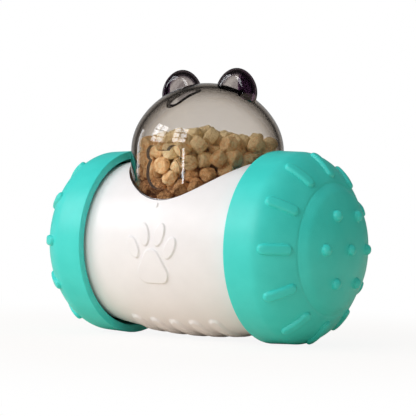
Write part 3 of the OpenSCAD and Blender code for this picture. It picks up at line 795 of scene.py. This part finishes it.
class Nodes:
    """Small helper around one material's node tree."""

    def __init__(self, name):
        self.mat = bpy.data.materials.new(name)
        self.mat.use_nodes = True
        self.tree = self.mat.node_tree
        self.bsdf = self.tree.nodes["Principled BSDF"]
        self.out = self.tree.nodes["Material Output"]
        self.coord = self.tree.nodes.new("ShaderNodeTexCoord")

    def add(self, kind, **values):
        """New node; values are its properties, or inputs of the same name."""
        node = self.tree.nodes.new(kind)
        for key, value in values.items():
            if key in node.inputs:
                node.inputs[key].default_value = value
            else:
                setattr(node, key, value)
        return node

    def link(self, a, b):
        self.tree.links.new(a, b)

    def noise(self, scale, detail=2.0, rough=0.5):
        node = self.add("ShaderNodeTexNoise", Scale=scale, Detail=detail, Roughness=rough)
        self.link(self.coord.outputs["Object"], node.inputs["Vector"])
        return node.outputs["Fac"]

    def ramp(self, fac, stops):
        node = self.add("ShaderNodeValToRGB")
        ramp = node.color_ramp
        while len(ramp.elements) < len(stops):
            ramp.elements.new(0.5)
        for element, (place, colour) in zip(ramp.elements, stops):
            element.position = place
            element.color = (*colour, 1.0)
        self.link(fac, node.inputs["Fac"])
        return node.outputs["Color"]

    def spread(self, fac, low, high):
        node = self.add("ShaderNodeMapRange")
        node.inputs["To Min"].default_value = low
        node.inputs["To Max"].default_value = high
        self.link(fac, node.inputs["Value"])
        return node.outputs["Result"]

    def bump(self, height, strength, distance, after=None):
        node = self.add("ShaderNodeBump", Strength=strength, Distance=distance)
        self.link(height, node.inputs["Height"])
        if after is not None:
            self.link(after, node.inputs["Normal"])
        return node.outputs["Normal"]


def math_node(tree, operation, a, b):
    node = tree.nodes.new("ShaderNodeMath")
    node.operation = operation
    tree.links.new(a, node.inputs[0])
    tree.links.new(b, node.inputs[1])
    return node


def ray_mask(tree, *names):
    """One for the named kinds of rays and zero for the rest."""
    path = tree.nodes.new("ShaderNodeLightPath")
    last = path.outputs[names[0]]
    for name in names[1:]:
        last = math_node(tree, "MAXIMUM", last, path.outputs[name]).outputs[0]
    return last


def map_range(tree, value, low, high, to_low, to_high):
    node = tree.nodes.new("ShaderNodeMapRange")
    node.interpolation_type = "SMOOTHSTEP"
    for name, number in (("From Min", low), ("From Max", high), ("To Min", to_low), ("To Max", to_high)):
        node.inputs[name].default_value = number
    tree.links.new(value, node.inputs["Value"])
    return node


def srgb(*rgb):
    """Linear colour from 0 to 255 display values."""
    return tuple((v / 255.0 / 12.92) if v <= 10.3 else ((v / 255.0 + 0.055) / 1.055) ** 2.4 for v in rgb)


def moulded(name, low, high, rough, grain_scale, grain, metallic=0.0, gloss=0.5):
    """Moulded plastic or metal: faint mottling, uneven gloss and a fine grain."""
    n = Nodes(name)
    b = n.bsdf.inputs
    n.link(n.ramp(n.noise(90.0, 3.0), [(0.3, low), (0.7, high)]), b["Base Color"])
    n.link(n.spread(n.noise(270.0, 2.0), rough - 0.05, rough + 0.05), b["Roughness"])
    n.link(n.bump(n.noise(grain_scale, 2.0), grain, 0.0002), b["Normal"])
    b["Metallic"].default_value = metallic
    b["Specular IOR Level"].default_value = gloss
    return n.mat


def painted_dark_side(n, colour, painted_shade):
    """Painted shade: a deeper tint on the front of the ears, on the side away from the head's middle,
    standing in for the dark surroundings the ears refract and reflect there.
    """
    place = n.add("ShaderNodeSeparateXYZ")
    n.link(n.coord.outputs["Object"], place.inputs[0])
    out = n.add("ShaderNodeMath", operation="ABSOLUTE")
    n.link(place.outputs["X"], out.inputs[0])
    side = map_range(n.tree, out.outputs[0], EAR_DARK_X * MM, (EAR_DARK_X + EAR_DARK_BLUR) * MM, 0.0, 1.0)
    front = map_range(n.tree, place.outputs["Y"], -EAR_DARK_BLUR * MM, 0.0, 1.0, 0.0)
    both = math_node(n.tree, "MULTIPLY", side.outputs["Result"], front.outputs["Result"])
    mix = n.add("ShaderNodeMixRGB", Color2=(*painted_shade, 1.0))
    n.link(both.outputs[0], mix.inputs["Fac"])
    n.link(colour, mix.inputs["Color1"])
    return mix.outputs["Color"]


def smoke_plastic(name, tint, rough, clear_share=1.0, painted_shade=None):
    """See-through smoke plastic that darkens where it is seen edge on."""
    n = Nodes(name)
    b = n.bsdf.inputs
    b["Transmission Weight"].default_value = clear_share
    b["IOR"].default_value = SMOKE_IOR
    weight = n.add("ShaderNodeLayerWeight", Blend=0.5)
    colour = n.ramp(weight.outputs["Facing"], tint)
    # When given, painted shade darkens the ears' outer front halves
    n.link(colour if painted_shade is None else painted_dark_side(n, colour, painted_shade), b["Base Color"])
    n.link(n.spread(n.noise(160.0, 2.0), 0.0, rough), b["Roughness"])
    n.link(n.bump(n.noise(26.0, 1.0), 0.05, 0.0005), b["Normal"])
    vol = n.add("ShaderNodeVolumeAbsorption", Color=SMOKE_COLOUR, Density=SMOKE_DENSITY)
    n.link(vol.outputs["Volume"], n.out.inputs["Volume"])
    # Lamps and the fill light shine through to the treats
    clear = n.add("ShaderNodeBsdfTransparent")
    mix = n.add("ShaderNodeMixShader")
    n.link(ray_mask(n.tree, "Is Shadow Ray", "Is Diffuse Ray"), mix.inputs["Fac"])
    n.link(n.bsdf.outputs["BSDF"], mix.inputs[1])
    n.link(clear.outputs["BSDF"], mix.inputs[2])
    n.link(mix.outputs["Shader"], n.out.inputs["Surface"])
    return n.mat


def dry_treat():
    """Baked crumb whose colour varies by treat and grain, with painted light that pales treats higher in
    the heap, and painted shade in fine cracks.
    """
    n = Nodes("dry_treat")
    b = n.bsdf.inputs
    # Carries each treat's random shade and its painted light from above
    tone_and_painted_light = n.add("ShaderNodeAttribute", attribute_name="tone_and_painted_light")
    grain = n.noise(420.0, 5.0, 0.65)
    mix = n.add("ShaderNodeMath", operation="MULTIPLY_ADD")
    n.link(grain, mix.inputs[0])
    mix.inputs[1].default_value = 0.9
    n.link(n.spread(tone_and_painted_light.outputs["Fac"], -0.36, 0.56), mix.inputs[2])
    # Painted shade: the crumb is darkened along the edges of a cell pattern, standing in for the shade
    # inside fine cracks; the same pattern also bumps the surface
    crack = n.add("ShaderNodeTexVoronoi", feature="DISTANCE_TO_EDGE", Scale=400.0)
    n.link(n.coord.outputs["Object"], crack.inputs["Vector"])
    painted_shade = n.add("ShaderNodeMapRange")
    for key, value in (("From Max", 0.12), ("To Min", 0.14), ("To Max", 0.0)):
        painted_shade.inputs[key].default_value = value
    n.link(crack.outputs["Distance"], painted_shade.inputs["Value"])
    crumb_less_crack_shade = math_node(n.tree, "SUBTRACT", mix.outputs[0], painted_shade.outputs["Result"])
    colour = n.ramp(crumb_less_crack_shade.outputs[0], [
        (0.1, srgb(136, 86, 50)), (0.4, srgb(246, 194, 136)), (0.72, srgb(255, 236, 190))])
    n.link(colour, b["Base Color"])
    n.link(n.spread(grain, 0.6, 0.85), b["Roughness"])
    fine = n.bump(n.noise(900.0, 4.0, 0.65), 1.0, 0.001)
    n.link(n.bump(crack.outputs["Distance"], 0.8, 0.001, after=fine), b["Normal"])
    return n.mat


# Moulded materials: darker and paler tone, roughness, grain's scale and depth
MOULDED = {
    "soft_cover": (srgb(52, 220, 213), srgb(62, 227, 220), 0.43, 2600.0, 0.35),
    "white_shell": (srgb(242, 244, 248), srgb(246, 248, 252), 0.34, 1800.0, 0.12),
    # Painted shade: the hubs are dark teal, standing in for the shade in the gap between the wheels' rims
    # and the barrel
    "hub_painted_gap_shade": (srgb(34, 142, 120), srgb(44, 154, 132), 0.5, 1600.0, 0.3),
    "inner_plastic": (srgb(226, 226, 224), srgb(236, 236, 234), 0.5, 1600.0, 0.3),
    "bearing_plastic": (srgb(232, 228, 214), srgb(240, 237, 226), 0.4, 1600.0, 0.2),
    "steel": (srgb(176, 176, 180), srgb(200, 200, 204), 0.3, 3000.0, 0.25),
    "weight_iron": (srgb(84, 84, 88), srgb(112, 112, 116), 0.62, 700.0, 0.9),
}
METALS = ("steel", "weight_iron")
mats = {name: moulded(name, *look, metallic=1.0 if name in METALS else 0.0,
                      gloss=0.6 if name == "soft_cover" else 0.5) for name, look in MOULDED.items()}
mats["smoke_clear"] = smoke_plastic("smoke_clear", DOME_TINT, 0.015)
# The ears' plastic carries painted shade on their outer front halves
mats["smoke_ear"] = smoke_plastic("smoke_ear", EAR_TINT, 0.015, painted_shade=EAR_PAINTED_SHADE)
mats["smoke_cut"] = smoke_plastic("smoke_cut", CUT_TINT, 0.4, clear_share=0.25)
mats["smoke_rim"] = smoke_plastic("smoke_rim", RIM_TINT, 0.2, clear_share=0.55)
mats["dry_treat"] = dry_treat()


def dress(obj, mat):
    obj.data.materials.clear()
    obj.data.materials.append(mat)


for side in (-1, 1):
    dress(tyre(side), mats["soft_cover"])
dress(body_shell(), mats["white_shell"])
dress(body_inside(), mats["white_shell"])
head_dome()
dress(treats(), mats["dry_treat"])

for part in frame["record"]["subparts"]:
    node = frame["nodes"][part["node"]]
    # Hubs get the dark teal painted shade instead of their own inner plastic
    mat = mats["hub_painted_gap_shade" if part["node"].startswith("hub_") else part["material_slot"]]
    for place in node.material_slots:
        place.material = mat
    if not node.material_slots:
        node.data.materials.append(mat)


# Stage: floor, world, lamps and camera

def make_floor():
    """Pale paper that looks white far off and keeps the object's shadow near it."""
    mesh = bpy.data.meshes.new("floor")
    s = FLOOR_HALF
    mesh.from_pydata([(-s, -s, 0), (s, -s, 0), (s, s, 0), (-s, s, 0)], [], [(0, 1, 2, 3)])
    obj = bpy.data.objects.new("floor", mesh)
    bpy.context.collection.objects.link(obj)
    mat = bpy.data.materials.new("floor_paper")
    mat.use_nodes = True
    tree = mat.node_tree
    tree.nodes.remove(tree.nodes["Principled BSDF"])
    out = tree.nodes["Material Output"]
    paper = tree.nodes.new("ShaderNodeBsdfDiffuse")
    paper.inputs["Color"].default_value = FLOOR_COLOUR
    glow = tree.nodes.new("ShaderNodeEmission")
    glow.inputs["Strength"].default_value = 1.0
    coord = tree.nodes.new("ShaderNodeTexCoord")
    far = tree.nodes.new("ShaderNodeVectorMath")
    far.operation = "LENGTH"
    tree.links.new(coord.outputs["Object"], far.inputs[0])
    near = map_range(tree, far.outputs["Value"], FLOOR_NEAR, FLOOR_FAR, FLOOR_GLOW, 1.0)
    seen = ray_mask(tree, "Is Camera Ray", "Is Transmission Ray")
    share = math_node(tree, "MULTIPLY", seen, near.outputs["Result"])
    mix = tree.nodes.new("ShaderNodeMixShader")
    tree.links.new(share.outputs[0], mix.inputs["Fac"])
    tree.links.new(paper.outputs[0], mix.inputs[1])
    tree.links.new(glow.outputs[0], mix.inputs[2])
    tree.links.new(mix.outputs[0], out.inputs["Surface"])
    mesh.materials.append(mat)


def toward(tree, coord, direction):
    """Cosine between the direction looked in and a fixed one."""
    dot = tree.nodes.new("ShaderNodeVectorMath")
    dot.operation = "DOT_PRODUCT"
    tree.links.new(coord.outputs["Generated"], dot.inputs[0])
    dot.inputs[1].default_value = direction
    return dot.outputs["Value"]


def make_world():
    """White behind the object, darker to the sides for gloss and edges, and warm for the fill light."""
    world = bpy.data.worlds.new("studio")
    world.use_nodes = True
    bpy.context.scene.world = world
    tree = world.node_tree
    back = tree.nodes["Background"]
    coord = tree.nodes.new("ShaderNodeTexCoord")
    behind = toward(tree, coord, (-math.sin(VIEW_TURN), math.cos(VIEW_TURN), 0.0))
    panel = map_range(tree, behind, *PANEL_EDGE, WORLD_DARK, 1.0)
    soft = map_range(tree, toward(tree, coord, FILL_FROM), -1.0, 1.0, FILL_LOW, FILL_HIGH)
    # Rays refracted through the head count as glossy too, and aren't dimmed
    glossy, refracted = ray_mask(tree, "Is Glossy Ray"), ray_mask(tree, "Is Transmission Ray")
    mirror = math_node(tree, "SUBTRACT", glossy, refracted)
    mirror.use_clamp = True
    dim = map_range(tree, mirror.outputs[0], 0.0, 1.0, 1.0, GLOSS_SHARE)
    seen = math_node(tree, "MULTIPLY", panel.outputs["Result"], dim.outputs["Result"])
    look = ray_mask(tree, "Is Glossy Ray", "Is Transmission Ray")
    fill = map_range(tree, look, 0.0, 1.0, 0.0, 1.0)
    tree.links.new(soft.outputs["Result"], fill.inputs["To Min"])
    tree.links.new(seen.outputs[0], fill.inputs["To Max"])
    level = map_range(tree, ray_mask(tree, "Is Camera Ray"), 0.0, 1.0, 0.0, 1.0)
    tree.links.new(fill.outputs["Result"], level.inputs["To Min"])
    tint = tree.nodes.new("ShaderNodeValToRGB")
    tint.color_ramp.elements[0].color = FILL_TINT
    tint.color_ramp.elements[1].color = (1.0, 1.0, 1.0, 1.0)
    plain = ray_mask(tree, "Is Camera Ray", "Is Glossy Ray", "Is Transmission Ray")
    tree.links.new(plain, tint.inputs["Fac"])
    tree.links.new(tint.outputs["Color"], back.inputs["Color"])
    tree.links.new(level.outputs["Result"], back.inputs["Strength"])


def around(turn, rise):
    """Place of a lamp, turned from the front towards +X and raised, in degrees."""
    t, e = math.radians(turn), math.radians(rise)
    return Vector((math.sin(t) * math.cos(e) * LAMP_FAR, -math.cos(t) * math.cos(e) * LAMP_FAR,
                   HEAD_MIDDLE.z + math.sin(e) * LAMP_FAR))


def lamp(name, place, target, width, height, power):
    data = bpy.data.lights.new(name, "AREA")
    data.shape = "RECTANGLE"
    data.size, data.size_y = width, height
    data.energy = power
    data.color = LAMP_COLOUR
    obj = bpy.data.objects.new(name, data)
    bpy.context.collection.objects.link(obj)
    aim = Vector(target) - Vector(place)
    obj.rotation_euler = aim.to_track_quat("-Z", "Y").to_euler()
    obj.location = place
    return obj


def window(name, turn, rise, width, height, watts):
    """Soft box of two by three panes, whose image shows on the head."""
    middle = around(turn, rise)
    aim = (HEAD_MIDDLE - middle).normalized()
    right = aim.cross(Vector((0.0, 0.0, 1.0))).normalized()
    up = right.cross(aim)
    for row in (-1, 0, 1):
        for col in (-0.5, 0.5):
            place = middle + right * (col * width / 2) + up * (row * height / 3)
            lamp("%s_%d_%d" % (name, row + 1, col + 1), place, place + aim,
                 width / 2 * PANE_SHARE, height / 3 * PANE_SHARE, watts / 6)


def make_camera():
    """Camera fitted to the photograph: turned to the side, nearly level, with a slight roll."""
    turn, rise, roll = VIEW_TURN, VIEW_RISE, VIEW_ROLL
    back = Vector((math.sin(turn) * math.cos(rise), -math.cos(turn) * math.cos(rise), math.sin(rise)))
    right = Vector((math.cos(turn), math.sin(turn), 0.0))
    up = back.cross(right)
    x = right * math.cos(roll) + up * math.sin(roll)
    y = up * math.cos(roll) - right * math.sin(roll)
    target = Vector((0.0, 0.0, AXLE_Z * MM))
    place = target + back * VIEW_FAR
    # The axle's centre doesn't lie in the picture's middle, so the camera looks a little past it
    pitch = math.atan((AXLE_PX[1] - FRAME_PX / 2) / FOCAL_PX)
    yaw = math.atan((FRAME_PX / 2 - AXLE_PX[0]) / FOCAL_PX)
    ahead = -back
    ahead, y = ahead * math.cos(pitch) + y * math.sin(pitch), y * math.cos(pitch) - ahead * math.sin(pitch)
    ahead, x = ahead * math.cos(yaw) + x * math.sin(yaw), x * math.cos(yaw) - ahead * math.sin(yaw)
    data = bpy.data.cameras.new("camera")
    data.sensor_fit = "HORIZONTAL"
    data.sensor_width = SENSOR_MM
    data.lens = SENSOR_MM * FOCAL_PX / FRAME_PX
    data.clip_start = 0.01
    obj = bpy.data.objects.new("camera", data)
    bpy.context.collection.objects.link(obj)
    axes = Matrix((x, y, -ahead)).transposed().to_4x4()
    obj.matrix_world = Matrix.Translation(place) @ axes
    bpy.context.scene.camera = obj


make_floor()
make_world()
window("left_window", -50.0, 24.0, 0.62, 0.66, 5.7)
window("front_window", -10.0, 26.0, 0.55, 0.66, 5.7)
lamp("streak", around(-0.6, 1.3), (0.0, 0.0, 0.085), 0.06, 0.07, 0.16)
lamp("left_strip", around(-92.0, 9.0), HEAD_MIDDLE, 0.12, 0.5, 0.6)
top_soft = lamp("top_soft", around(-40.0, 76.0), HEAD_MIDDLE, 0.6, 0.6, 1.5)
top_soft.visible_glossy = False
top_soft.visible_transmission = False
make_camera()
bpy.context.scene.view_settings.view_transform = "Standard"
